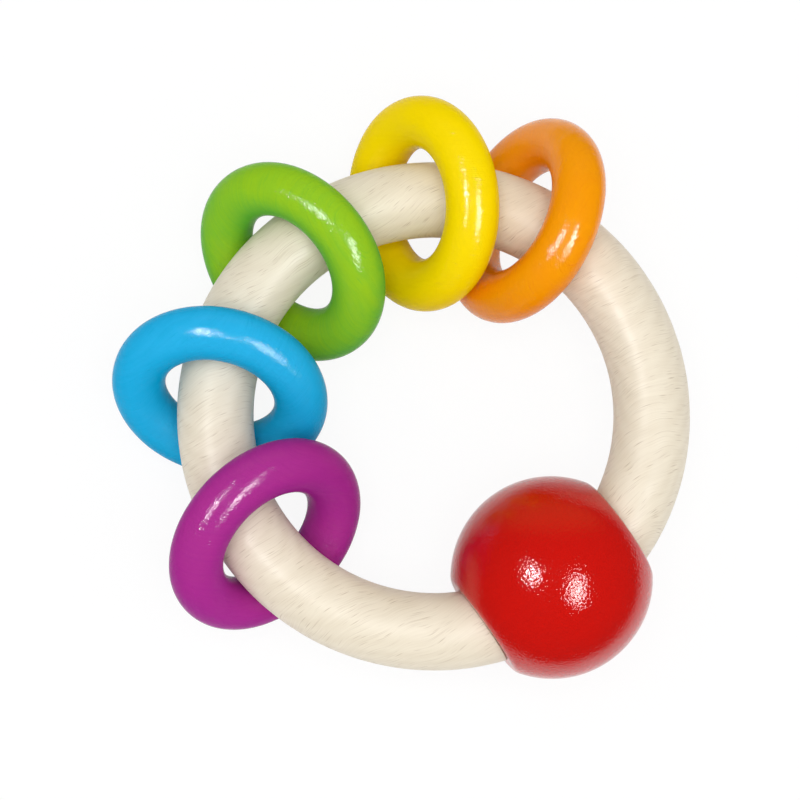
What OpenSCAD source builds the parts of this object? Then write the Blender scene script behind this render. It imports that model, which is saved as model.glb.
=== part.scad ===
// Ring rattle: a beech grip ring closed by a ball, with five closed rings threaded on it.
// The grip ring's axis is +Z, its centre is the origin and the ball is towards -Y.
// The five rings lean on the grip ring like fallen dominoes, as they do when the rattle lies flat.

/* [Grip ring] */
// Outside diameter of the grip ring
grip_outer_d = 94; // [78:1:113]
// Diameter of the grip ring's round section
grip_bar_d = 14; // [11:0.2:17]

/* [Ball] */
// Diameter of the ball
ball_d = 36.8; // [34:0.1:46]
// Distance between the two flats that the grip ring's ends butt on
ball_across_flats = 30.8; // [25:0.1:32]
// Radius that softens the edge of each flat
ball_edge_r = 3; // [1:0.5:4]

/* [Dowels] */
// Diameter of both dowels
dowel_d = 6; // [4:0.5:7]
// How far the ball's dowel reaches into each end of the grip ring
ball_dowel_depth = 5; // [3:0.5:6]
// How far the joint dowel reaches into each half of the grip ring
joint_dowel_depth = 10; // [6:0.5:14]
// Chamfer on a dowel's ends
dowel_chamfer = 0.8; // [0.3:0.1:1.2]
// Glue gap round a dowel, measured on the radius
glue_gap = 0.05; // [0.02:0.01:0.2]
// Room left past a dowel's end
dowel_end_room = 0.5; // [0.2:0.1:1]

/* [Coloured rings] */
// Outside diameter of a coloured ring
ring_outer_d = 40; // [38:0.5:48]
// Diameter of a coloured ring's round section
ring_bar_d = 9.8; // [8:0.1:12]
// Gap left where a coloured ring touches the grip ring, its neighbour or the ball
touch_gap = 0.3; // [0.2:0.05:0.6]

/* [Resting places] */
// Slack between the ball and the orange ring, in parts of the whole row's slack
ball_to_orange = 46.4; // [1:0.1:80]
// Slack between the orange and yellow rings, in parts of the whole row's slack
orange_to_yellow = 0; // [0:0.1:80]
// Slack between the yellow and green rings, in parts of the whole row's slack
yellow_to_green = 9.5; // [0:0.1:80]
// Slack between the green and blue rings, in parts of the whole row's slack
green_to_blue = 11.1; // [0:0.1:80]
// Slack between the blue and purple rings, in parts of the whole row's slack
blue_to_purple = 4; // [0:0.1:80]
// Slack between the purple ring and the ball, in parts of the whole row's slack
purple_to_ball = 29; // [0:0.1:80]
// How far the orange ring hangs inwards, as a share of its free play
orange_inset = 0; // [0:0.01:0.9]
// How far the yellow ring hangs inwards, as a share of its free play
yellow_inset = 0.23; // [0:0.01:0.9]
// How far the green ring hangs inwards, as a share of its free play
green_inset = 0.56; // [0:0.01:0.9]
// How far the blue ring hangs inwards, as a share of its free play
blue_inset = 0.2; // [0:0.01:0.9]
// How far the purple ring hangs inwards, as a share of its free play
purple_inset = 0.72; // [0:0.01:0.9]
// How far the orange ring is twisted on the grip ring
orange_twist = 7.8; // [-12:0.1:12]
// How far the yellow ring is twisted on the grip ring
yellow_twist = 8.4; // [-12:0.1:12]
// How far the green ring is twisted on the grip ring
green_twist = 2.4; // [-12:0.1:12]
// How far the blue ring is twisted on the grip ring
blue_twist = -4.9; // [-12:0.1:12]
// How far the purple ring is twisted on the grip ring
purple_twist = 7.1; // [-12:0.1:12]

/* [Hidden] */
$fn = 96;

// Radii of the round sections and of their centre lines
grip_bar_r = grip_bar_d / 2;
grip_r = grip_outer_d / 2 - grip_bar_r;
ring_bar_r = ring_bar_d / 2;
ring_r = ring_outer_d / 2 - ring_bar_r;

// The ball sits on the chord that joins the centres of the grip ring's two cut ends
ball_r = ball_d / 2;
flat_x = ball_across_flats / 2;
ball_y = -sqrt(grip_r * grip_r - flat_x * flat_x);
ball_angle = 270;

// Centre of the arc that softens a flat's edge, tangent to the ball and to the flat
edge_along = flat_x - ball_edge_r;
edge_out = sqrt(pow(ball_r - ball_edge_r, 2) - edge_along * edge_along);

// Dowel lengths and holes
dowel_r = dowel_d / 2;
dowel_hole_r = dowel_r + glue_gap;
ball_dowel_length = ball_across_flats + 2 * ball_dowel_depth;
joint_dowel_length = 2 * joint_dowel_depth;

// Sideways room of a coloured ring that is threaded on the grip ring
free_play = ring_r - ring_bar_r - grip_bar_r - touch_gap;

// Cutting tools reach this far past what they cut
past = 1;
cut_size = grip_outer_d + 2 * past;

// Steps of the search for each ring's resting place
search_points = 120;
search_rounds = 24;
most_lean = 70;
most_spread = 120;

beech = [0.90, 0.80, 0.66];
dowel_beech = [0.84, 0.70, 0.52];
ball_red = [0.78, 0.09, 0.06];
ring_orange = [0.95, 0.55, 0.02];
ring_yellow = [0.95, 0.84, 0.02];
ring_green = [0.49, 0.74, 0.12];
ring_blue = [0.12, 0.64, 0.86];
ring_purple = [0.64, 0.13, 0.52];

// Distance from a point to a circle of the given centre, axis and radius
function to_circle(point, centre, axis, r) =
    let (
        offset = point - centre,
        height = offset * axis,
        out = norm(offset - height * axis)
    )
    norm([out - r, height]);

// A ring's place is [centre, level direction across it, direction down its slope, axis].
// It sits on the grip ring at +X, twisted about Z and leaning.
function place(inset, twist, lean) = [
    [grip_r - inset * free_play, 0, 0],
    [cos(twist), sin(twist), 0],
    [-sin(lean) * sin(twist), sin(lean) * cos(twist), -cos(lean)],
    [-cos(lean) * sin(twist), cos(lean) * cos(twist), sin(lean)]
];

// The same place moved round the grip ring
function moved(p, angle) = [
    for (v = p) [v.x * cos(angle) - v.y * sin(angle), v.x * sin(angle) + v.y * cos(angle), v.z]
];

// Points along a ring's centre line
function ring_points(p) = [
    for (i = [0 : search_points - 1])
        let (t = 360 * i / search_points)
        p[0] + ring_r * (cos(t) * p[1] + sin(t) * p[2])
];

// Clear gap between a ring and the grip ring, another ring and the ball
function gap_to_grip(p) =
    min([for (q = ring_points(p)) to_circle(q, [0, 0, 0], [0, 0, 1], grip_r)])
    - ring_bar_r - grip_bar_r;
function gap_to_ring(p, other) =
    min([for (q = ring_points(p)) to_circle(q, other[0], other[3], ring_r)]) - 2 * ring_bar_r;
function gap_to_ball(p) =
    min([for (q = ring_points(p)) max(norm(q - [0, ball_y, 0]) - ball_r, abs(q.x) - flat_x)])
    - ring_bar_r;

// Largest value at which a test still holds, found by halving
function last_where(holds, low, high, rounds = search_rounds) =
    let (mid = (low + high) / 2)
    rounds == 0 ? low
    : holds(mid) ? last_where(holds, mid, high, rounds - 1)
    : last_where(holds, low, mid, rounds - 1);

// Place of a ring that leans until it rests on the grip ring
function rested(inset, twist) =
    let (is_clear = function (lean) gap_to_grip(place(inset, twist, lean)) > touch_gap)
    place(inset, twist, last_where(is_clear, 0, most_lean));

// Angles at which a ring touches the ball's near side, its far side and its neighbour
function angle_before_ball(rest) =
    let (is_near = function (turn) gap_to_ball(moved(rest, ball_angle - turn)) < touch_gap)
    ball_angle - last_where(is_near, 0, most_spread);
function angle_after_ball(rest) =
    let (is_near = function (turn) gap_to_ball(moved(rest, ball_angle + turn)) < touch_gap)
    ball_angle - 360 + last_where(is_near, 0, most_spread);
function angle_before(other_rest, other_angle, rest) =
    let (
        other = moved(other_rest, other_angle),
        is_near = function (turn) gap_to_ring(moved(rest, other_angle - turn), other) < touch_gap
    )
    other_angle - last_where(is_near, 0, most_spread);

// How each ring rests on the grip ring
orange_rest = rested(orange_inset, orange_twist);
yellow_rest = rested(yellow_inset, yellow_twist);
green_rest = rested(green_inset, green_twist);
blue_rest = rested(blue_inset, blue_twist);
purple_rest = rested(purple_inset, purple_twist);

// Angles of the row when it is pushed together against the ball, and the slack that this leaves
purple_pushed = angle_before_ball(purple_rest);
blue_pushed = angle_before(purple_rest, purple_pushed, blue_rest);
green_pushed = angle_before(blue_rest, blue_pushed, green_rest);
yellow_pushed = angle_before(green_rest, green_pushed, yellow_rest);
orange_pushed = angle_before(yellow_rest, yellow_pushed, orange_rest);
slack = orange_pushed - angle_after_ball(orange_rest);

// Angles of the row when its slack is shared out
purple_slack = purple_to_ball;
blue_slack = purple_slack + blue_to_purple;
green_slack = blue_slack + green_to_blue;
yellow_slack = green_slack + yellow_to_green;
orange_slack = yellow_slack + orange_to_yellow;
slack_part = slack / (orange_slack + ball_to_orange);

orange_place = moved(orange_rest, orange_pushed - orange_slack * slack_part);
yellow_place = moved(yellow_rest, yellow_pushed - yellow_slack * slack_part);
green_place = moved(green_rest, green_pushed - green_slack * slack_part);
blue_place = moved(blue_rest, blue_pushed - blue_slack * slack_part);
purple_place = moved(purple_rest, purple_pushed - purple_slack * slack_part);

// A ring of round section about the Z axis
module round_ring(r, bar_r) {
    rotate_extrude()
        translate([r, 0])
            circle(bar_r);
}

// A closed ring laid in its place
module laid_ring(p) {
    way = atan2(p[1].y, p[1].x);
    lean = asin(p[3].z);
    translate(p[0])
        rotate([0, 0, way])
            rotate([lean - 90, 0, 0])
                round_ring(ring_r, ring_bar_r);
}

// A dowel along X, chamfered at both ends
module dowel(length) {
    body = length - 2 * dowel_chamfer;
    rotate([0, 90, 0]) {
        cylinder(r = dowel_r, h = body, center = true);
        for (end = [0, 1])
            mirror([0, 0, end])
                translate([0, 0, body / 2])
                    cylinder(r1 = dowel_r, r2 = dowel_r - dowel_chamfer, h = dowel_chamfer);
    }
}

// The plain hole that a dowel is glued into
module dowel_hole(length) {
    rotate([0, 90, 0])
        cylinder(r = dowel_hole_r, h = length, center = true);
}

// The half of the grip ring on the +X side, cut square to X at the joint and at the ball
module half_ring() {
    difference() {
        round_ring(grip_r, grip_bar_r);
        translate([-cut_size, -cut_size, -cut_size / 2])
            cube([cut_size, 2 * cut_size, cut_size]);
        translate([-past, -cut_size, -cut_size / 2])
            cube([past + flat_x, cut_size, cut_size]);
        translate([0, grip_r, 0])
            dowel_hole(joint_dowel_length + 2 * dowel_end_room);
        translate([0, ball_y, 0])
            dowel_hole(ball_dowel_length + 2 * dowel_end_room);
    }
}

// Half outline of the ball, with its bore's axis upright: round side, flats and the arcs between them
module ball_outline() {
    edge_angle = atan2(edge_along, edge_out);
    intersection() {
        circle(ball_r);
        polygon([
            [0, 0],
            [ball_d, -ball_d * tan(edge_angle)],
            [ball_d, ball_d * tan(edge_angle)]
        ]);
    }
    for (side = [-1, 1])
        translate([edge_out, side * edge_along])
            circle(ball_edge_r);
    translate([0, -flat_x])
        square([edge_out, ball_across_flats]);
}

module left_half_ring() {
    color(beech)
        mirror([1, 0, 0])
            half_ring();
}

module right_half_ring() {
    color(beech)
        half_ring();
}

module ball() {
    color(ball_red)
        translate([0, ball_y, 0])
            difference() {
                rotate([0, 90, 0])
                    rotate_extrude()
                        ball_outline();
                dowel_hole(ball_across_flats + 2 * past);
            }
}

module ball_dowel() {
    color(dowel_beech)
        translate([0, ball_y, 0])
            dowel(ball_dowel_length);
}

module joint_dowel() {
    color(dowel_beech)
        translate([0, grip_r, 0])
            dowel(joint_dowel_length);
}

module orange_ring() {
    color(ring_orange)
        laid_ring(orange_place);
}

module yellow_ring() {
    color(ring_yellow)
        laid_ring(yellow_place);
}

module green_ring() {
    color(ring_green)
        laid_ring(green_place);
}

module blue_ring() {
    color(ring_blue)
        laid_ring(blue_place);
}

module purple_ring() {
    color(ring_purple)
        laid_ring(purple_place);
}

left_half_ring();
right_half_ring();
ball();
ball_dowel();
joint_dowel();
orange_ring();
yellow_ring();
green_ring();
blue_ring();
purple_ring();
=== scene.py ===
"""Ring rattle: a beech grip ring closed by a red ball, with five lacquered rings threaded on it."""

import itertools
import math

import bmesh
import bpy
import numpy as np
from bpy.props import FloatProperty, FloatVectorProperty, IntProperty, PointerProperty
from bpy.types import Operator, Panel, PropertyGroup
from mathutils import Matrix, Vector, noise


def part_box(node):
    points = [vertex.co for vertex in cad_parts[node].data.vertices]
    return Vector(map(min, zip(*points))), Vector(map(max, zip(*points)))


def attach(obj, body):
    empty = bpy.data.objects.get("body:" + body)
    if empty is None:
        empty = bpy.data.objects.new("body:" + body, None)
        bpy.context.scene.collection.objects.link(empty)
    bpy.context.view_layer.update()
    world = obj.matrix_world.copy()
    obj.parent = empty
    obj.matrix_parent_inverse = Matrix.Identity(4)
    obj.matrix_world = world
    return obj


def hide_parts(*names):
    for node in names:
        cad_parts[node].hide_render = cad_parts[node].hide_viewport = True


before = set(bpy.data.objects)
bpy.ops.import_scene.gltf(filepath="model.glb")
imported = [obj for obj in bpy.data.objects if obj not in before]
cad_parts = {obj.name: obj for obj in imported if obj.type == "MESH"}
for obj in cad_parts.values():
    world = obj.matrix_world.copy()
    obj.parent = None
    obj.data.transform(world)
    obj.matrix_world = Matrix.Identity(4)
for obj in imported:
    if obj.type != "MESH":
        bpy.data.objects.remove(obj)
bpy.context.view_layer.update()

bl_info = {
    "name": "Ring rattle",
    "version": (1, 0, 0),
    "blender": (4, 5, 0),
    "location": "3D View > Sidebar > Rattle",
    "description": "Makes the pieces of a wooden ring rattle round its packed model",
    "category": "Object",
}

RING_COLOURS = ("orange", "yellow", "green", "blue", "purple")

# What counts as the same point, as on a face, as on a round wall and as in one line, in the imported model's metres
POINT_DECIMALS = 8
ON_FACE = 1e-6
ON_WALL = 2e-6
IN_LINE = 1e-9

# Edges past the first angle are shaded crisp, those past the second are softened, and points this close are joined
CRISP_ANGLE = math.radians(35)
SOFTENED_ANGLE = math.radians(50)
SOFTENED_STEPS = 2
JOINED = 1e-7

# Steps along each piece and round its section, and on the ball's outline
GRIP_STEPS = (200, 96)
RING_STEPS = (192, 64)
SIDE_STEPS, ARC_STEPS, FLAT_STEPS = 120, 14, 4

# Sanding: how far apart its waves lie on bars, how many there are in a metre on the ball, and the share of the grip
# bar's length in which they fade out at each end
SANDING_SPREAD = 0.012
BALL_WAVES = 80
GRIP_SEED = 3.0
FADE_SHARE = 0.06

# Grain: wanders from its straight line, as (waves in a metre, metres), and the slope of its growth rings
GRAIN_WANDER = ((60.0, 0.0045), (150.0, 0.0015), (260.0, 0.0005))
GROWTH_SLOPE = (0.45, 0.89)
STREAK_LENGTH = 4.0

# Ribbons in the grain: length and width in flecks, and the distances at which they are full and gone
FLECK_RIBBONS = (1.0, 1.0, 0.08, 0.3)
HAIR_RIBBONS = (2.4, 0.7, 0.08, 0.36)
HAIR_STRENGTH = 0.6

# Bare beech: its flecks' sizes and strengths, the shares of streaks and growth rings in its bands, the least and most
# roughness, and its pores' depth
BEECH_FLECKS = {"Fleck Length": 0.0038, "Fleck Width": 0.00028}
GRIP_FLECKS, DOWEL_FLECKS = 0.7, 0.5
BEECH_BANDS = (0.7, 0.3)
BEECH_ROUGHNESS = (0.34, 0.5)
PORE_DEPTH = 0.00002
BEECH_IOR = 1.45

# Lacquer: the size and depth of its orange peel, how far the grain stands out in it, the least and most roughness, the
# gloss that is left at a slant, and the slants between which it fades
FULL_GLOSS = 0.5
BALL_COAT = {"peel": (0.0005, 0.00008), "raised": 0.15, "roughness": (0.03, 0.07), "edge_gloss": FULL_GLOSS}
RING_COAT = {"peel": (0.0005, 0.00007), "raised": 0.5, "roughness": (0.07, 0.13)}
EDGE_GLOSS = {"orange": 0.25, "yellow": 0.02, "green": 0.02, "blue": 0.02, "purple": 0.02}
SLANT = (0.06, 0.3)
RING_GRAIN_TURN = 1.3
LACQUER_IOR = 1.5

# Painted shade down the sides of a bar: heights on it, in its radii, between which the sides darken, and how far they
# do.
# Then the shares by which streaks, clouds and flecks deepen the lacquer. Clouds are counted in a metre
SHADED_SIDES, DARKEST_SIDE_SHADE = (0.75, 0.2), 0.75
DEEP_SHARES = (0.3, 0.14, 0.3)
CLOUDS = 220.0

# Lamps as the camera sees them: direction, distance, width, height, power and whether they are what gloss mirrors
LEFT, RIGHT, FRONT = (-0.39, 0.09, 0.92), (0.45, -0.2, 0.87), (0, 0, 1)
LAMPS = {
    "Left soft box": (LEFT, 1.0, 0.75, 0.75, 1.5, False),
    "Right soft box": (RIGHT, 1.0, 0.75, 1.0, 2.0, False),
    "Front soft box": (FRONT, 1.0, 0.6, 0.6, 4.4, False),
    "Left window": (LEFT, 0.8, 0.115, 0.135, 3.4, True),
    "Right window": (RIGHT, 0.8, 0.13, 0.36, 4.4, True),
}

# Floor: its size, the point round which it is white, the distances between which the white fades out where it is seen
# straight and mirrored, and the share of white light of its own in each
FLOOR_RADIUS, FLOOR_STEPS = 30.0, 96
WHITE_ROUND = (0.0, 0.01)
FADE_STRAIGHT, FADE_MIRRORED = (0.11, 0.7), (0.103, 0.112)
FLOOR_GLOW = (0.9, 0.3)

# Cosines from the warm wall's direction between which it comes up out of the dim room
WALL_EDGE = (0.66, 0.85)


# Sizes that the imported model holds

def corners(*nodes):
    """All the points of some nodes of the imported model, each once, as rows."""
    rows = {
        tuple(round(x, POINT_DECIMALS) for x in v.co)
        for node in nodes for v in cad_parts[node].data.vertices
    }
    return np.array(sorted(rows))


def grip_sizes():
    """Radius of the grip ring's centre line and of its round bar."""
    points = corners("left_half_ring", "right_half_ring")
    bar = points[:, 2].max()
    return float(np.hypot(points[:, 0], points[:, 1]).max() - bar), float(bar)


def ball_sizes():
    """Middle of the ball, its radius, the distance out to its flats, a flat's radius and its bore's radius."""
    low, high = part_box("ball")
    middle = (low + high) / 2
    points = corners("ball") - np.array(middle)
    out = np.hypot(points[:, 1], points[:, 2])
    on_flat = np.abs(points[:, 0]) > high.x - ON_FACE
    return middle, float(out.max()), high.x, float(out[on_flat].max()), float(out.min())


def hole_depth(y, radius, start):
    """How deep the dowel hole at the given height goes into the right half ring, from where it starts."""
    points = corners("right_half_ring")
    on_wall = np.abs(np.hypot(points[:, 1] - y, points[:, 2]) - radius) < ON_WALL
    return float(points[on_wall, 0].max()) - start


def ring_place(node):
    """Where a coloured ring lies, as a matrix whose Z is its axis and whose X is level, with its two radii."""
    points = corners(node)
    centre = points.mean(axis=0)
    axis = Vector(np.linalg.eigh(np.cov((points - centre).T))[1][:, 0])
    axis *= math.copysign(1, axis.z)
    level = Vector((0, 0, 1)).cross(axis).normalized()
    place = Matrix((level, axis.cross(level), axis)).transposed().to_4x4()
    place.translation = Vector(centre)
    bar = float(np.abs((points - centre) @ np.array(axis)).max())
    return place, float(np.linalg.norm(points - centre, axis=1).max()) - bar, bar


GRIP_R, BAR_R = grip_sizes()
BALL_AT, BALL_R, FLAT_AT, FLAT_R, BORE_R = ball_sizes()
JOINT_DEPTH = hole_depth(GRIP_R, BORE_R, 0.0)
BALL_DEPTH = hole_depth(BALL_AT.y, BORE_R, FLAT_AT)


# Node trees

def put(tree, kind, sockets=(), **settings):
    """Adds a node, sets it up and fills its input sockets with values or links."""
    node = tree.nodes.new(kind)
    for name, value in settings.items():
        setattr(node, name, value)
    for key, value in dict(sockets).items():
        if isinstance(value, bpy.types.NodeSocket):
            tree.links.new(value, node.inputs[key])
        else:
            node.inputs[key].default_value = value
    return node


def calc(tree, operation, *values):
    """A Math node's result."""
    return put(tree, "ShaderNodeMath", enumerate(values), operation=operation).outputs[0]


def vector_calc(tree, operation, *values):
    """A Vector Math node's vector."""
    return put(tree, "ShaderNodeVectorMath", enumerate(values), operation=operation).outputs["Vector"]


def combine(tree, x, y, z):
    """A vector of three values."""
    return put(tree, "ShaderNodeCombineXYZ", enumerate((x, y, z))).outputs[0]


def ramp(tree, value, low, high, to_low=0.0, to_high=1.0):
    """A value moved from one range to another, and held there."""
    sockets = {"Value": value, "From Min": low, "From Max": high, "To Min": to_low, "To Max": to_high}
    return put(tree, "ShaderNodeMapRange", sockets).outputs["Result"]


def mix(tree, factor, a, b, blend="MIX"):
    """Two colours mixed."""
    return put(tree, "ShaderNodeMix", {0: factor, 6: a, 7: b}, data_type="RGBA", blend_type=blend).outputs[2]


def new_group(name, kind, sockets):
    """A node group with its own input and output nodes. Sockets are (name, direction, type, default)."""
    tree = bpy.data.node_groups.new(name, kind)
    for label, way, socket_type, default in sockets:
        socket = tree.interface.new_socket(label, in_out=way, socket_type=socket_type)
        if default is not None:
            socket.default_value = default
    return tree, put(tree, "NodeGroupInput").outputs, put(tree, "NodeGroupOutput").inputs


def uneven(tree, mesh, amount, seed, spread):
    """Moves a mesh in and out a little, as hand sanding leaves it."""
    wander = put(
        tree,
        "ShaderNodeTexNoise",
        {"W": seed, "Scale": calc(tree, "DIVIDE", 1.0, spread), "Detail": 1.0},
        noise_dimensions="4D",
    )
    shift = calc(tree, "MULTIPLY", calc(tree, "SUBTRACT", wander.outputs[0], 0.5), 2.0)
    normal = put(tree, "GeometryNodeInputNormal").outputs[0]
    offset = put(
        tree,
        "ShaderNodeVectorMath",
        {0: normal, "Scale": calc(tree, "MULTIPLY", shift, amount)},
        operation="SCALE",
    )
    return put(tree, "GeometryNodeSetPosition", {"Geometry": mesh, "Offset": offset.outputs[0]}).outputs[0]


def finished(tree, mesh, material):
    """Smooth shading with crisp edges, real geometry and a material."""
    smooth = put(tree, "GeometryNodeSetShadeSmooth", {"Geometry": mesh})
    angle = put(tree, "GeometryNodeInputMeshEdgeAngle").outputs["Unsigned Angle"]
    crisp = put(
        tree,
        "GeometryNodeSetShadeSmooth",
        {
            "Geometry": smooth.outputs[0],
            "Selection": calc(tree, "GREATER_THAN", angle, CRISP_ANGLE),
            "Shade Smooth": False,
        },
        domain="EDGE",
    )
    real = put(tree, "GeometryNodeRealizeInstances", {"Geometry": crisp.outputs[0]})
    return put(tree, "GeometryNodeSetMaterial", {"Geometry": real.outputs[0], "Material": material}).outputs[0]


def turned_ring_tree():
    """A closed ring of round section about Z, turned from one piece of wood."""
    tree, given, result = new_group(
        "Turned ring",
        "GeometryNodeTree",
        [
            ("Ring Radius", "INPUT", "NodeSocketFloat", 0.015),
            ("Bar Radius", "INPUT", "NodeSocketFloat", 0.005),
            ("Around", "INPUT", "NodeSocketInt", 192),
            ("About", "INPUT", "NodeSocketInt", 64),
            ("Unevenness", "INPUT", "NodeSocketFloat", 0.00005),
            ("Spread", "INPUT", "NodeSocketFloat", 0.01),
            ("Seed", "INPUT", "NodeSocketFloat", 0.0),
            ("Material", "INPUT", "NodeSocketMaterial", None),
            ("Geometry", "OUTPUT", "NodeSocketGeometry", None),
        ],
    )
    path = put(tree, "GeometryNodeCurvePrimitiveCircle",
               {"Resolution": given["Around"], "Radius": given["Ring Radius"]})
    section = put(tree, "GeometryNodeCurvePrimitiveCircle",
                  {"Resolution": given["About"], "Radius": given["Bar Radius"]})
    swept = put(tree, "GeometryNodeCurveToMesh",
                {"Curve": path.outputs["Curve"], "Profile Curve": section.outputs["Curve"]})
    sanded = uneven(tree, swept.outputs[0], given["Unevenness"], given["Seed"], given["Spread"])
    tree.links.new(finished(tree, sanded, given["Material"]), result["Geometry"])
    return tree


def half_ring_tree():
    """The half of the grip ring on the +X side: a round bar along an arc, trimmed to the joint's plane and to the
    ball's flat, with a dowel hole in each end."""
    tree, given, result = new_group(
        "Half grip ring",
        "GeometryNodeTree",
        [
            ("Grip Radius", "INPUT", "NodeSocketFloat", 0.04),
            ("Bar Radius", "INPUT", "NodeSocketFloat", 0.007),
            ("Flat Distance", "INPUT", "NodeSocketFloat", 0.0154),
            ("Hole Radius", "INPUT", "NodeSocketFloat", 0.003),
            ("Joint Hole Depth", "INPUT", "NodeSocketFloat", 0.0105),
            ("Ball Hole Depth", "INPUT", "NodeSocketFloat", 0.0055),
            ("Along", "INPUT", "NodeSocketInt", 192),
            ("About", "INPUT", "NodeSocketInt", 96),
            ("Unevenness", "INPUT", "NodeSocketFloat", 0.00005),
            ("Spread", "INPUT", "NodeSocketFloat", 0.01),
            ("Material", "INPUT", "NodeSocketMaterial", None),
            ("Geometry", "OUTPUT", "NodeSocketGeometry", None),
        ],
    )
    quarter = math.pi / 2
    flat_at, grip = given["Flat Distance"], given["Grip Radius"]

    # The bar runs from the joint at +Y to where its centre line meets the flat
    down_to = calc(tree, "ARCCOSINE", calc(tree, "DIVIDE", flat_at, grip))
    sweep = calc(tree, "ADD", down_to, quarter)
    path = put(tree, "GeometryNodeCurveArc", {
        "Resolution": given["Along"], "Radius": grip,
        "Start Angle": quarter, "Sweep Angle": calc(tree, "MULTIPLY", sweep, -1.0)})
    section = put(tree, "GeometryNodeCurvePrimitiveCircle",
                  {"Resolution": given["About"], "Radius": given["Bar Radius"]})
    swept = put(tree, "GeometryNodeCurveToMesh",
                {"Curve": path.outputs["Curve"], "Profile Curve": section.outputs["Curve"]})

    # Each line along the bar is stretched until it ends on the flat
    place = put(tree, "ShaderNodeSeparateXYZ", {0: put(tree, "GeometryNodeInputPosition").outputs[0]}).outputs
    squares = [calc(tree, "MULTIPLY", place[i], place[i]) for i in (0, 1)]
    out = calc(tree, "SQRT", calc(tree, "ADD", *squares))
    turned = calc(tree, "SUBTRACT", quarter, calc(tree, "ARCTAN2", place[1], place[0]))
    own_end = calc(tree, "ADD", calc(tree, "ARCCOSINE", calc(tree, "DIVIDE", flat_at, out)), quarter)
    share = calc(tree, "DIVIDE", turned, sweep)
    angle = calc(tree, "SUBTRACT", quarter, calc(tree, "MULTIPLY", share, own_end))
    trimmed = put(tree, "GeometryNodeSetPosition", {
        "Geometry": swept.outputs[0],
        "Position": combine(
            tree,
            calc(tree, "MULTIPLY", out, calc(tree, "COSINE", angle)),
            calc(tree, "MULTIPLY", out, calc(tree, "SINE", angle)),
            place[2],
        )})

    # Sanding fades out at both ends, so that they stay flat
    fade = ramp(tree, calc(tree, "MINIMUM", share, calc(tree, "SUBTRACT", 1.0, share)), 0.0, FADE_SHARE)
    sanded = uneven(tree, trimmed.outputs[0], calc(tree, "MULTIPLY", given["Unevenness"], fade), GRIP_SEED,
                    given["Spread"])

    # The end faces run in to the dowel holes, and then come the holes' walls and bottoms
    ball_y = calc(tree, "MULTIPLY", calc(tree, "SQRT", calc(
        tree, "SUBTRACT", calc(tree, "MULTIPLY", grip, grip), calc(tree, "MULTIPLY", flat_at, flat_at))), -1.0)
    at_joint = calc(tree, "GREATER_THAN", place[1], 0.0)
    centre_y = ramp(tree, at_joint, 0.0, 1.0, ball_y, grip)
    depth = ramp(tree, at_joint, 0.0, 1.0, given["Ball Hole Depth"], given["Joint Hole Depth"])
    spoke = vector_calc(tree, "NORMALIZE", combine(tree, 0.0, calc(tree, "SUBTRACT", place[1], centre_y), place[2]))
    spoke_y, spoke_z = put(tree, "ShaderNodeSeparateXYZ", {0: spoke}).outputs[1:]
    on_hole = combine(
        tree,
        place[0],
        calc(tree, "ADD", centre_y, calc(tree, "MULTIPLY", spoke_y, given["Hole Radius"])),
        calc(tree, "MULTIPLY", spoke_z, given["Hole Radius"]),
    )
    on_axis = combine(tree, place[0], centre_y, 0.0)
    faces = put(tree, "GeometryNodeInputMeshEdgeNeighbors").outputs[0]
    is_open = calc(tree, "LESS_THAN", faces, 1.5)
    mesh, edge = sanded, is_open
    for inwards, position in ((0.0, on_hole), (depth, None), (0.0, on_axis)):
        grown = put(tree, "GeometryNodeExtrudeMesh", {
            "Mesh": mesh, "Selection": edge,
            "Offset": combine(tree, 1.0, 0.0, 0.0), "Offset Scale": inwards}, mode="EDGES")
        mesh, edge = grown.outputs["Mesh"], grown.outputs["Top"]
        if position:
            moved = put(tree, "GeometryNodeSetPosition",
                        {"Geometry": mesh, "Selection": edge, "Position": position})
            mesh = moved.outputs[0]
    closed = put(tree, "GeometryNodeMergeByDistance", {"Geometry": mesh, "Distance": JOINED})
    tree.links.new(finished(tree, closed.outputs[0], given["Material"]), result["Geometry"])
    return tree


def made_by(tree, name, values, edge=0.0):
    """A plain mesh object that a tree makes from the named values, with its sharp edges softened."""
    piece = bpy.data.objects.new(name, bpy.data.meshes.new(name))
    bpy.context.scene.collection.objects.link(piece)
    shape = piece.modifiers.new("Shape", "NODES")
    shape.node_group = tree
    for item in tree.interface.items_tree:
        if item.in_out == "INPUT":
            shape[item.identifier] = values[item.name]
    if edge:
        soft = piece.modifiers.new("Softened edges", "BEVEL")
        soft.width = edge
        soft.segments = SOFTENED_STEPS
        soft.limit_method = "ANGLE"
        soft.angle_limit = SOFTENED_ANGLE
    depsgraph = bpy.context.evaluated_depsgraph_get()
    mesh = bpy.data.meshes.new_from_object(piece.evaluated_get(depsgraph), depsgraph=depsgraph)
    piece.modifiers.clear()
    piece.data = mesh
    return piece


def face_outwards(mesh):
    """Turns every face of a closed mesh outwards."""
    work = bmesh.new()
    work.from_mesh(mesh)
    bmesh.ops.recalc_face_normals(work, faces=work.faces)
    work.to_mesh(mesh)
    work.free()


# Finishes

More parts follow.
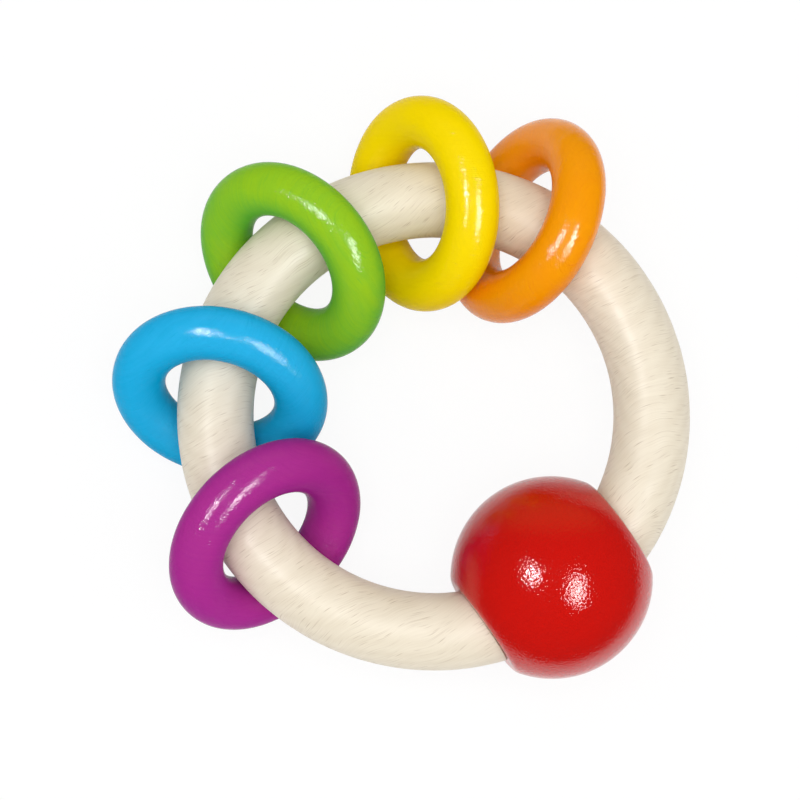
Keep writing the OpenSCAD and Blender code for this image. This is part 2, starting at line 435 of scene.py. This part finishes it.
def plank_grain_group():
    """What beech shows along its grain, which runs along X: flecks, fine streaks and growth rings. Flecks are the
    edges of thin ribbons that run deep into the wood along Z, so a curved face cuts them into strokes."""
    tree, given, result = new_group(
        "Plank grain",
        "ShaderNodeTree",
        [
            ("Vector", "INPUT", "NodeSocketVector", None),
            ("Fleck Length", "INPUT", "NodeSocketFloat", 0.005),
            ("Fleck Width", "INPUT", "NodeSocketFloat", 0.00034),
            ("Fleck Depth", "INPUT", "NodeSocketFloat", 0.006),
            ("Ring Spacing", "INPUT", "NodeSocketFloat", 0.0024),
            ("Flecks", "OUTPUT", "NodeSocketFloat", None),
            ("Streaks", "OUTPUT", "NodeSocketFloat", None),
            ("Growth", "OUTPUT", "NodeSocketFloat", None),
        ],
    )
    along = given["Vector"]
    for scale, amount in GRAIN_WANDER:
        wander = put(tree, "ShaderNodeTexNoise", {"Vector": given["Vector"], "Scale": scale, "Detail": 0.0})
        bend = put(tree, "ShaderNodeVectorMath",
                   {0: vector_calc(tree, "SUBTRACT", wander.outputs["Color"], (0.5, 0.5, 0.5)), "Scale": amount},
                   operation="SCALE")
        along = vector_calc(tree, "ADD", along, bend.outputs[0])

    def stretched(long, wide):
        """The wandering place, in lengths, widths and depths of a fleck."""
        size = combine(tree, calc(tree, "MULTIPLY", given["Fleck Length"], long),
                       calc(tree, "MULTIPLY", given["Fleck Width"], wide), given["Fleck Depth"])
        return vector_calc(tree, "DIVIDE", along, size)

    def ribbons(long, wide, near, far):
        """Thin ribbons, each as dark as chance has it."""
        cells = put(tree, "ShaderNodeTexVoronoi", {"Vector": stretched(long, wide), "Scale": 1.0})
        chance = put(tree, "ShaderNodeSeparateColor", {0: cells.outputs["Color"]}).outputs[0]
        return calc(tree, "MULTIPLY", ramp(tree, cells.outputs["Distance"], far, near), ramp(tree, chance, 0.1, 1.0))

    hair = calc(tree, "MULTIPLY", ribbons(*HAIR_RIBBONS), HAIR_STRENGTH)
    tree.links.new(calc(tree, "MAXIMUM", ribbons(*FLECK_RIBBONS), hair), result["Flecks"])

    streaks = put(tree, "ShaderNodeTexNoise",
                  {"Vector": stretched(STREAK_LENGTH, 1.0), "Scale": 1.0, "Detail": 3.0, "Roughness": 0.6})
    tree.links.new(ramp(tree, streaks.outputs[0], 0.25, 0.75), result["Streaks"])

    parts = put(tree, "ShaderNodeSeparateXYZ", {0: along}).outputs[1:]
    across = calc(tree, "ADD", *(calc(tree, "MULTIPLY", part, slope) for part, slope in zip(parts, GROWTH_SLOPE)))
    year = calc(tree, "MULTIPLY", calc(tree, "DIVIDE", across, given["Ring Spacing"]), 2 * math.pi)
    tree.links.new(ramp(tree, calc(tree, "SINE", year), -1.0, 1.0), result["Growth"])
    return tree


def lacquer_skin_group():
    """How lacquer lies on turned wood: orange peel, raised grain and a gloss that varies with them."""
    tree, given, result = new_group(
        "Lacquer skin",
        "ShaderNodeTree",
        [
            ("Vector", "INPUT", "NodeSocketVector", None),
            ("Streaks", "INPUT", "NodeSocketFloat", 0.5),
            ("Flecks", "INPUT", "NodeSocketFloat", 0.0),
            ("Peel Size", "INPUT", "NodeSocketFloat", 0.0006),
            ("Raised Grain", "INPUT", "NodeSocketFloat", 0.3),
            ("Least Roughness", "INPUT", "NodeSocketFloat", 0.2),
            ("Most Roughness", "INPUT", "NodeSocketFloat", 0.35),
            ("Height", "OUTPUT", "NodeSocketFloat", None),
            ("Roughness", "OUTPUT", "NodeSocketFloat", None),
            ("Cloud", "OUTPUT", "NodeSocketFloat", None),
        ],
    )
    peel = put(tree, "ShaderNodeTexNoise", {
        "Vector": given["Vector"], "Scale": calc(tree, "DIVIDE", 1.0, given["Peel Size"]), "Detail": 2.0,
        "Roughness": 0.5})
    cloud = put(tree, "ShaderNodeTexNoise", {"Vector": given["Vector"], "Scale": CLOUDS, "Detail": 3.0})
    grain = calc(tree, "MULTIPLY", calc(tree, "SUBTRACT", given["Streaks"], given["Flecks"]), given["Raised Grain"])
    tree.links.new(calc(tree, "ADD", peel.outputs[0], grain), result["Height"])
    tree.links.new(ramp(tree, cloud.outputs[0], 0.35, 0.65, given["Least Roughness"], given["Most Roughness"]),
                   result["Roughness"])
    tree.links.new(ramp(tree, cloud.outputs[0], 0.3, 0.7), result["Cloud"])
    return tree


def new_material(name):
    """An empty material with its tree."""
    material = bpy.data.materials.new(name)
    material.use_nodes = True
    material.node_tree.nodes.clear()
    return material, material.node_tree


def grain_coordinates(tree, place):
    """Object coordinates turned so that the grain runs along X at the given place."""
    where = put(tree, "ShaderNodeTexCoord").outputs["Object"]
    turned = put(tree, "ShaderNodeMapping", {
        "Vector": where, "Location": place.to_translation(), "Rotation": place.to_euler()}, vector_type="TEXTURE")
    return turned.outputs[0]


def beech_finish(name, place, pale, dark, fleck, fleck_strength):
    """Bare sanded beech with a thin satin oil."""
    material, tree = new_material(name)
    grain = put(tree, "ShaderNodeGroup", node_tree=bpy.data.node_groups["Plank grain"])
    tree.links.new(grain_coordinates(tree, place), grain.inputs["Vector"])
    for key, size in BEECH_FLECKS.items():
        grain.inputs[key].default_value = size
    flecks, streaks, growth = grain.outputs

    bands = calc(tree, "ADD", *(calc(tree, "MULTIPLY", part, share)
                                for part, share in zip((streaks, growth), BEECH_BANDS)))
    wood = mix(tree, bands, (*pale, 1.0), (*dark, 1.0))
    colour = mix(tree, calc(tree, "MULTIPLY", flecks, fleck_strength), wood, (*fleck, 1.0))
    height = calc(tree, "MULTIPLY", calc(tree, "SUBTRACT", streaks, flecks), 0.5)
    bump = put(tree, "ShaderNodeBump", {"Height": height, "Strength": 0.5, "Distance": PORE_DEPTH})
    surface = put(tree, "ShaderNodeBsdfPrincipled", {
        "Base Color": colour,
        "Roughness": ramp(tree, streaks, 0.0, 1.0, *BEECH_ROUGHNESS),
        "Normal": bump.outputs[0],
        "IOR": BEECH_IOR,
    })
    put(tree, "ShaderNodeOutputMaterial", {"Surface": surface.outputs[0]})
    return material


def lacquer_finish(name, place, ring_r, bar_r, colour, deep_and_shaded, peel, raised, roughness, edge_gloss):
    """Coloured lacquer over turned beech, on a ring or, with no ring radius, on a ball. Orange peel is a size and a
    depth, and roughness its least and its most."""
    material, tree = new_material(name)
    vector = grain_coordinates(tree, place)
    grain = put(tree, "ShaderNodeGroup", node_tree=bpy.data.node_groups["Plank grain"])
    tree.links.new(vector, grain.inputs["Vector"])
    flecks, streaks, _ = grain.outputs
    skin = put(tree, "ShaderNodeGroup", node_tree=bpy.data.node_groups["Lacquer skin"])
    for key, value in {"Vector": vector, "Streaks": streaks, "Flecks": flecks}.items():
        tree.links.new(value, skin.inputs[key])
    peel_size, peel_depth = peel
    least, most = roughness
    for key, value in {"Peel Size": peel_size, "Raised Grain": raised, "Least Roughness": least,
                       "Most Roughness": most}.items():
        skin.inputs[key].default_value = value

    # The colour deepens along the grain and in clouds, and is darkened down the sides of each bar and round the ball's
    # middle as painted shade
    level = vector_calc(tree, "NORMALIZE", vector_calc(tree, "MULTIPLY", vector, (1.0, 1.0, 0.0)))
    out = vector_calc(tree, "SUBTRACT", vector, vector_calc(tree, "MULTIPLY", level, (ring_r, ring_r, 0.0)))
    up = place.to_3x3().transposed() @ Vector((0, 0, 1))
    height = put(tree, "ShaderNodeVectorMath", {0: out, 1: up}, operation="DOT_PRODUCT").outputs["Value"]
    # Painted shade: where the surface is level with a bar's middle, on its sides, or round the ball's middle, the
    # colour darkens towards the deep colour
    upper, lower = (share * bar_r for share in SHADED_SIDES)
    depth = ramp(tree, calc(tree, "ABSOLUTE", height), upper, lower, 0.0, DARKEST_SIDE_SHADE)
    for share, part in zip(DEEP_SHARES, (streaks, skin.outputs["Cloud"], flecks)):
        depth = calc(tree, "ADD", depth, calc(tree, "MULTIPLY", part, share))
    tint = mix(tree, calc(tree, "MINIMUM", depth, 1.0), (*colour, 1.0), (*deep_and_shaded, 1.0))
    bump = put(tree, "ShaderNodeBump", {"Height": skin.outputs["Height"], "Strength": 1.0, "Distance": peel_depth})
    surface = put(tree, "ShaderNodeBsdfPrincipled", {
        "Base Color": tint,
        "Roughness": skin.outputs["Roughness"],
        "Normal": bump.outputs[0],
        "IOR": LACQUER_IOR,
    })
    if edge_gloss < FULL_GLOSS:
        slant = put(tree, "ShaderNodeLayerWeight", {"Blend": 0.5}).outputs["Facing"]
        tree.links.new(ramp(tree, slant, *SLANT, FULL_GLOSS, edge_gloss), surface.inputs["Specular IOR Level"])
    put(tree, "ShaderNodeOutputMaterial", {"Surface": surface.outputs[0]})
    return material


# Settings

def colour_setting(name, description, default):
    """A colour, as light that the surface sends back."""
    return FloatVectorProperty(name=name, description=description, default=default, subtype="COLOR",
                               min=0.0, max=1.0)


class RattleGrip(PropertyGroup):
    """The grip ring's two halves and the dowels in them."""

    grain_turn: FloatProperty(
        name="Grain turn", description="Angle from +X at which the plank's grain runs",
        default=math.radians(-8), subtype="ANGLE")
    grain_tilt: FloatProperty(
        name="Grain tilt", description="How far the grain runs out of the plank's face",
        default=math.radians(4), subtype="ANGLE")
    unevenness: FloatProperty(
        name="Unevenness", description="How far sanding leaves the bar from true", default=0.00006, unit="LENGTH")
    edge: FloatProperty(
        name="Edge", description="Width of the softened edge at each end", default=0.00006, unit="LENGTH")
    pale: colour_setting("Pale wood", "Beech between its growth rings", (0.84, 0.762, 0.618))
    dark: colour_setting("Dark wood", "Beech in its growth rings", (0.75, 0.665, 0.52))
    fleck: colour_setting("Flecks", "Short dark flecks along the grain", (0.40, 0.29, 0.18))
    dowel_pale: colour_setting("Pale dowel", "Dowel wood between its growth rings", (0.70, 0.55, 0.36))
    dowel_dark: colour_setting("Dark dowel", "Dowel wood in its growth rings", (0.58, 0.42, 0.25))


class RattleBall(PropertyGroup):
    """The ball that closes the grip ring."""

    colour: colour_setting("Red", "Red lacquer", (0.57, 0.006, 0.003))
    # The deep red is the lacquer's darker tone in its grain and clouds, and also painted shade round the ball's sides
    deep_and_shaded: colour_setting("Deep red", "Red lacquer where it lies thick", (0.48, 0.005, 0.003))
    steps: IntProperty(name="Steps", description="Faces around the ball", default=192, min=24)
    unevenness: FloatProperty(
        name="Unevenness", description="How far sanding leaves the ball from true", default=0.00006, unit="LENGTH")


class RattleRings(PropertyGroup):
    """The five coloured rings."""

    orange: colour_setting("Orange", "Orange lacquer", (0.90, 0.325, 0.001))
    # Each deep colour is the lacquer's darker tone in its grain and clouds, and also painted shade down the sides of
    # its ring's bar
    orange_deep: colour_setting("Deep orange", "Orange lacquer where it lies thick", (0.88, 0.25, 0.001))
    yellow: colour_setting("Yellow", "Yellow lacquer", (0.94, 0.70, 0.001))
    yellow_deep: colour_setting("Deep yellow", "Yellow lacquer where it lies thick", (0.92, 0.66, 0.001))
    green: colour_setting("Green", "Green lacquer", (0.32, 0.56, 0.012))
    green_deep: colour_setting("Deep green", "Green lacquer where it lies thick", (0.12, 0.46, 0.036))
    blue: colour_setting("Blue", "Blue lacquer", (0.024, 0.435, 0.78))
    blue_deep: colour_setting("Deep blue", "Blue lacquer where it lies thick", (0.002, 0.365, 0.66))
    purple: colour_setting("Purple", "Purple lacquer", (0.405, 0.031, 0.26))
    purple_deep: colour_setting("Deep purple", "Purple lacquer where it lies thick", (0.34, 0.018, 0.26))
    unevenness: FloatProperty(
        name="Unevenness", description="How far sanding leaves a ring from true", default=0.00006, unit="LENGTH")


class RattleStage(PropertyGroup):
    """Camera, lamps and floor."""

    camera_at: FloatVectorProperty(
        name="Camera", description="Where the camera stands", default=(-0.0549, -0.0559, 0.5236), unit="LENGTH")
    look_at: FloatVectorProperty(
        name="Looks at", description="Point in the middle of the picture", default=(-0.0036, 0.0056, 0.0),
        unit="LENGTH")
    up: FloatVectorProperty(
        name="Up", description="Direction that stands upright in the picture", default=(0.579, 0.815, 0.0),
        subtype="DIRECTION")
    lens: FloatProperty(name="Lens", description="Focal length in millimetres", default=129.92)
    floor: colour_setting("Floor", "Pale floor", (0.95, 0.95, 0.95))
    far: FloatProperty(name="Far grey", description="How pale the floor is far from the rattle", default=0.82)
    dim: FloatProperty(name="Dim room", description="What gloss mirrors of the room beyond the floor", default=0.06)
    wall: colour_setting("Warm wall", "What gloss mirrors of the room's far wall", (0.36, 0.33, 0.12))
    ambient: FloatProperty(name="Room light", description="Soft light from all round", default=0.5)


# Pieces

def hand_over(piece, body, node):
    """Lets a piece ride on its body in place of its node."""
    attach(piece, body)
    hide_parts(node)


def plank_place(grip):
    """Where the plank's grain runs along X."""
    return Matrix.Rotation(grip.grain_turn, 4, "Z") @ Matrix.Rotation(grip.grain_tilt, 4, "Y")


class RATTLE_OT_grip(Operator):
    """Makes the two halves of the beech grip ring"""

    bl_idname = "rattle.grip"
    bl_label = "Make grip ring"

    def execute(self, context):
        grip = context.scene.rattle_grip
        plank_grain_group()
        wood = beech_finish("Beech", plank_place(grip), grip.pale, grip.dark, grip.fleck, GRIP_FLECKS)
        tree = half_ring_tree()
        along, about = GRIP_STEPS
        for side, turn in (("left", -1), ("right", 1)):
            piece = made_by(tree, f"grip_half_{side}", {
                "Grip Radius": GRIP_R, "Bar Radius": BAR_R, "Flat Distance": FLAT_AT, "Hole Radius": BORE_R,
                "Joint Hole Depth": JOINT_DEPTH, "Ball Hole Depth": BALL_DEPTH, "Along": along, "About": about,
                "Unevenness": grip.unevenness, "Spread": SANDING_SPREAD, "Material": wood}, grip.edge)
            piece.data.transform(Matrix.Diagonal((turn, 1, 1, 1)))
            face_outwards(piece.data)
            hand_over(piece, "grip", f"{side}_half_ring")
        return {"FINISHED"}


class RATTLE_OT_dowels(Operator):
    """Gives the two hidden dowels their wood"""

    bl_idname = "rattle.dowels"
    bl_label = "Finish dowels"

    def execute(self, context):
        grip = context.scene.rattle_grip
        wood = beech_finish("Dowel beech", Matrix(), grip.dowel_pale, grip.dowel_dark, grip.fleck,
                            DOWEL_FLECKS)
        for node in ("ball_dowel", "joint_dowel"):
            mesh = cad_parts[node].data
            mesh.materials.clear()
            mesh.materials.append(wood)
        return {"FINISHED"}


class RATTLE_OT_ball(Operator):
    """Makes the red ball with its two flats and its bore"""

    bl_idname = "rattle.ball"
    bl_label = "Make ball"

    def outline(self):
        """Points of the half outline round the bore, as (along, out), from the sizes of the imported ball."""
        edge_r = (BALL_R ** 2 - FLAT_AT ** 2 - FLAT_R ** 2) / (2 * (BALL_R - FLAT_AT))
        edge_along = FLAT_AT - edge_r
        meets = math.atan2(FLAT_R, edge_along)
        side = [Vector((BALL_R * math.cos(a), BALL_R * math.sin(a)))
                for a in (meets + (math.pi - 2 * meets) * i / SIDE_STEPS for i in range(SIDE_STEPS + 1))]
        arc = [Vector((edge_along + edge_r * math.cos(a), FLAT_R + edge_r * math.sin(a)))
               for a in (meets * i / ARC_STEPS for i in range(ARC_STEPS))]
        flat = [Vector((FLAT_AT, BORE_R + (FLAT_R - BORE_R) * i / FLAT_STEPS)) for i in range(FLAT_STEPS)]
        start = flat + arc
        end = [Vector((-p.x, p.y)) for p in reversed(start)]
        return start + side + end

    def execute(self, context):
        ball = context.scene.rattle_ball
        lacquer_skin_group()
        outline = self.outline()
        work = bmesh.new()
        rows = []
        for i in range(ball.steps):
            turn = 2 * math.pi * i / ball.steps
            rows.append([work.verts.new((p.x, p.y * math.cos(turn), p.y * math.sin(turn))) for p in outline])
        count = len(outline)
        for row, following in zip(rows, rows[1:] + rows[:1]):
            for i in range(count):
                j = (i + 1) % count
                work.faces.new((row[i], row[j], following[j], following[i]))
        bmesh.ops.recalc_face_normals(work, faces=work.faces)
        work.normal_update()
        for vert in work.verts:
            if abs(vert.co.x) < FLAT_AT - ON_FACE:
                vert.co += vert.normal * noise.noise(vert.co * BALL_WAVES) * ball.unevenness
        mesh = bpy.data.meshes.new("red_ball")
        work.to_mesh(mesh)
        work.free()
        place = Matrix.Translation(BALL_AT)
        mesh.transform(place)
        mesh.shade_smooth()
        mesh.set_sharp_from_angle(angle=CRISP_ANGLE)
        mesh.materials.append(lacquer_finish(
            "Red lacquer", place, 0.0, BALL_R, ball.colour, ball.deep_and_shaded, **BALL_COAT))
        piece = bpy.data.objects.new("red_ball", mesh)
        context.scene.collection.objects.link(piece)
        hand_over(piece, "grip", "ball")
        return {"FINISHED"}


class RATTLE_OT_rings(Operator):
    """Makes the five lacquered rings where they lie on the grip ring"""

    bl_idname = "rattle.rings"
    bl_label = "Make coloured rings"

    def execute(self, context):
        rings = context.scene.rattle_rings
        tree = turned_ring_tree()
        around, about = RING_STEPS
        for seed, colour in enumerate(RING_COLOURS):
            place, ring_r, bar_r = ring_place(f"{colour}_ring")
            lacquer = lacquer_finish(
                f"{colour.title()} lacquer", place @ Matrix.Rotation(RING_GRAIN_TURN * seed, 4, "Z"), ring_r, bar_r,
                getattr(rings, colour), getattr(rings, f"{colour}_deep"), edge_gloss=EDGE_GLOSS[colour], **RING_COAT)
            piece = made_by(tree, f"lacquered_ring_{colour}", {
                "Ring Radius": ring_r, "Bar Radius": bar_r, "Around": around, "About": about,
                "Unevenness": rings.unevenness, "Spread": SANDING_SPREAD, "Seed": float(seed), "Material": lacquer})
            piece.data.transform(place)
            face_outwards(piece.data)
            hand_over(piece, colour, f"{colour}_ring")
        return {"FINISHED"}


# Stage

def resting_plane():
    """A point of the plane that the rattle lies on and its upward direction: it touches three of the lowest points,
    with the rattle's middle between them."""
    lows = [Vector(min(corners(node), key=lambda p: p[2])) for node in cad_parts]
    for a, b, c in itertools.combinations(lows, 3):
        up = (b - a).cross(c - a)
        if abs(up.z) < IN_LINE:
            continue
        up = up.normalized() * math.copysign(1, up.z)
        sides = [p.xy.cross(q.xy) for p, q in ((a, b), (b, c), (c, a))]
        holds = all(s > 0 for s in sides) or all(s < 0 for s in sides)
        if holds and all((p - a).dot(up) > -ON_FACE for p in lows):
            return a, up
    raise RuntimeError("the rattle's lowest points give it no plane to lie on")


def seen_share(tree, straight, mirrored):
    """A share for what the camera sees straight, and one for what it sees mirrored or through glass."""
    ray = put(tree, "ShaderNodeLightPath").outputs
    bent = calc(tree, "MAXIMUM", ray["Is Glossy Ray"], ray["Is Transmission Ray"])
    return calc(tree, "MAXIMUM", calc(tree, "MULTIPLY", ray["Is Camera Ray"], straight),
                calc(tree, "MULTIPLY", bent, mirrored))


def floor_material(colour, far, dim, middle):
    """A pale floor that keeps a light shadow, shows as white round the rattle and greys softly further out. Gloss
    mirrors only the part round the rattle, and a dim room beyond it."""
    material, tree = new_material("Pale floor")
    where = put(tree, "ShaderNodeTexCoord").outputs["Object"]
    distance = put(tree, "ShaderNodeVectorMath", {0: where, 1: middle}, operation="DISTANCE").outputs["Value"]
    mirrored = seen_share(tree, 0.0, 1.0)
    starts, ends = (calc(tree, "MULTIPLY_ADD", mirrored, other - straight, straight)
                    for straight, other in zip(FADE_STRAIGHT, FADE_MIRRORED))
    outside = ramp(tree, distance, starts, ends)
    grey = mix(tree, mirrored, (far, far, far, 1.0), (dim, dim, dim, 1.0))
    shade = mix(tree, outside, (1.0, 1.0, 1.0, 1.0), grey)
    matt = put(tree, "ShaderNodeBsdfDiffuse", {"Color": mix(tree, 1.0, shade, (*colour, 1.0), "MULTIPLY")})
    glow = put(tree, "ShaderNodeEmission", {"Color": shade, "Strength": 1.0})
    share = seen_share(tree, *FLOOR_GLOW)
    surface = put(tree, "ShaderNodeMixShader", {0: share, 1: matt.outputs[0], 2: glow.outputs[0]})
    put(tree, "ShaderNodeOutputMaterial", {"Surface": surface.outputs[0]})
    return material


def studio_world(far, dim, ambient, wall, towards):
    """Soft light from all round. What is seen of it straight is the floor's grey, and mirrored a dim room with a warm
    wall towards one side."""
    world = bpy.data.worlds.new("Studio")
    world.use_nodes = True
    tree = world.node_tree
    tree.nodes.clear()
    way = put(tree, "ShaderNodeTexCoord").outputs["Generated"]
    facing = put(tree, "ShaderNodeVectorMath", {0: way, 1: towards}, operation="DOT_PRODUCT").outputs["Value"]
    room = mix(tree, ramp(tree, facing, *WALL_EDGE), (dim, dim, dim, 1.0), (*wall, 1.0))
    plain = mix(tree, seen_share(tree, 1.0, 0.0), (ambient, ambient, ambient, 1.0), (far, far, far, 1.0))
    glow = put(tree, "ShaderNodeBackground", {"Color": mix(tree, seen_share(tree, 0.0, 1.0), plain, room)})
    put(tree, "ShaderNodeOutputWorld", {"Surface": glow.outputs[0]})
    return world


def add_lamp(name, view, direction, distance, width, height, power, mirrored):
    """A lamp that stands in the given direction as the camera sees it, turned to the rattle. It is there either for
    what gloss mirrors or for soft light."""
    lamp = bpy.data.lights.new(name, "AREA")
    lamp.shape = "RECTANGLE"
    lamp.size = width
    lamp.size_y = height
    lamp.energy = power
    piece = bpy.data.objects.new(name, lamp)
    bpy.context.scene.collection.objects.link(piece)
    away = (view.to_3x3() @ Vector(direction)).normalized()
    side = (view.to_3x3() @ Vector((0, 1, 0))).cross(away).normalized()
    turn = Matrix((side, away.cross(side), away)).transposed().to_4x4()
    turn.translation = away * distance
    piece.matrix_world = turn
    piece.visible_camera = False
    piece.visible_glossy = mirrored
    piece.visible_diffuse = not mirrored


class RATTLE_OT_stage(Operator):
    """Sets up the camera, the lamps and the pale floor"""

    bl_idname = "rattle.stage"
    bl_label = "Set up stage"

    def execute(self, context):
        scene, stage = context.scene, context.scene.rattle_stage
        camera = bpy.data.cameras.new("Camera")
        camera.lens = stage.lens
        camera.sensor_width = 36
        camera.clip_start, camera.clip_end = 0.01, 100
        eye = bpy.data.objects.new("Camera", camera)
        scene.collection.objects.link(eye)
        back = (Vector(stage.camera_at) - Vector(stage.look_at)).normalized()
        right = Vector(stage.up).cross(back).normalized()
        view = Matrix((right, back.cross(right), back)).transposed().to_4x4()
        view.translation = Vector(stage.camera_at)
        eye.matrix_world = view
        scene.camera = eye

        for name, lamp in LAMPS.items():
            add_lamp(name, view, *lamp)
        scene.world = studio_world(stage.far, stage.dim, stage.ambient, stage.wall, Vector(stage.up).normalized())
        scene.view_settings.view_transform = "Standard"

        point, up = resting_plane()
        work = bmesh.new()
        bmesh.ops.create_circle(work, cap_ends=True, segments=FLOOR_STEPS, radius=FLOOR_RADIUS)
        mesh = bpy.data.meshes.new("floor")
        work.to_mesh(mesh)
        work.free()
        mesh.transform(Matrix.Translation(point) @ up.to_track_quat("Z", "Y").to_matrix().to_4x4())
        mesh.materials.append(floor_material(stage.floor, stage.far, stage.dim, (*WHITE_ROUND, point.z)))
        floor = bpy.data.objects.new("floor", mesh)
        scene.collection.objects.link(floor)
        return {"FINISHED"}


class RATTLE_PT_pieces(Panel):
    """Lists what the rattle is made of"""

    bl_idname = "RATTLE_PT_pieces"
    bl_label = "Ring rattle"
    bl_space_type = "VIEW_3D"
    bl_region_type = "UI"
    bl_category = "Rattle"

    def draw(self, context):
        for operator, group in STEPS:
            box = self.layout.box()
            box.operator(operator.bl_idname)
            settings = getattr(context.scene, group)
            for name in settings.__annotations__:
                box.prop(settings, name)


SETTINGS = {
    "rattle_grip": RattleGrip,
    "rattle_ball": RattleBall,
    "rattle_rings": RattleRings,
    "rattle_stage": RattleStage,
}
STEPS = (
    (RATTLE_OT_grip, "rattle_grip"),
    (RATTLE_OT_dowels, "rattle_grip"),
    (RATTLE_OT_ball, "rattle_ball"),
    (RATTLE_OT_rings, "rattle_rings"),
    (RATTLE_OT_stage, "rattle_stage"),
)
CLASSES = (*SETTINGS.values(), *(operator for operator, _ in STEPS), RATTLE_PT_pieces)


def register():
    for cls in CLASSES:
        bpy.utils.register_class(cls)
    for name, group in SETTINGS.items():
        setattr(bpy.types.Scene, name, PointerProperty(type=group))


def unregister():
    for name in SETTINGS:
        delattr(bpy.types.Scene, name)
    for cls in reversed(CLASSES):
        bpy.utils.unregister_class(cls)


def main():
    register()
    bpy.ops.rattle.grip()
    bpy.ops.rattle.dowels()
    bpy.ops.rattle.ball()
    bpy.ops.rattle.rings()
    bpy.ops.rattle.stage()


if __name__ == "__main__":
    main()
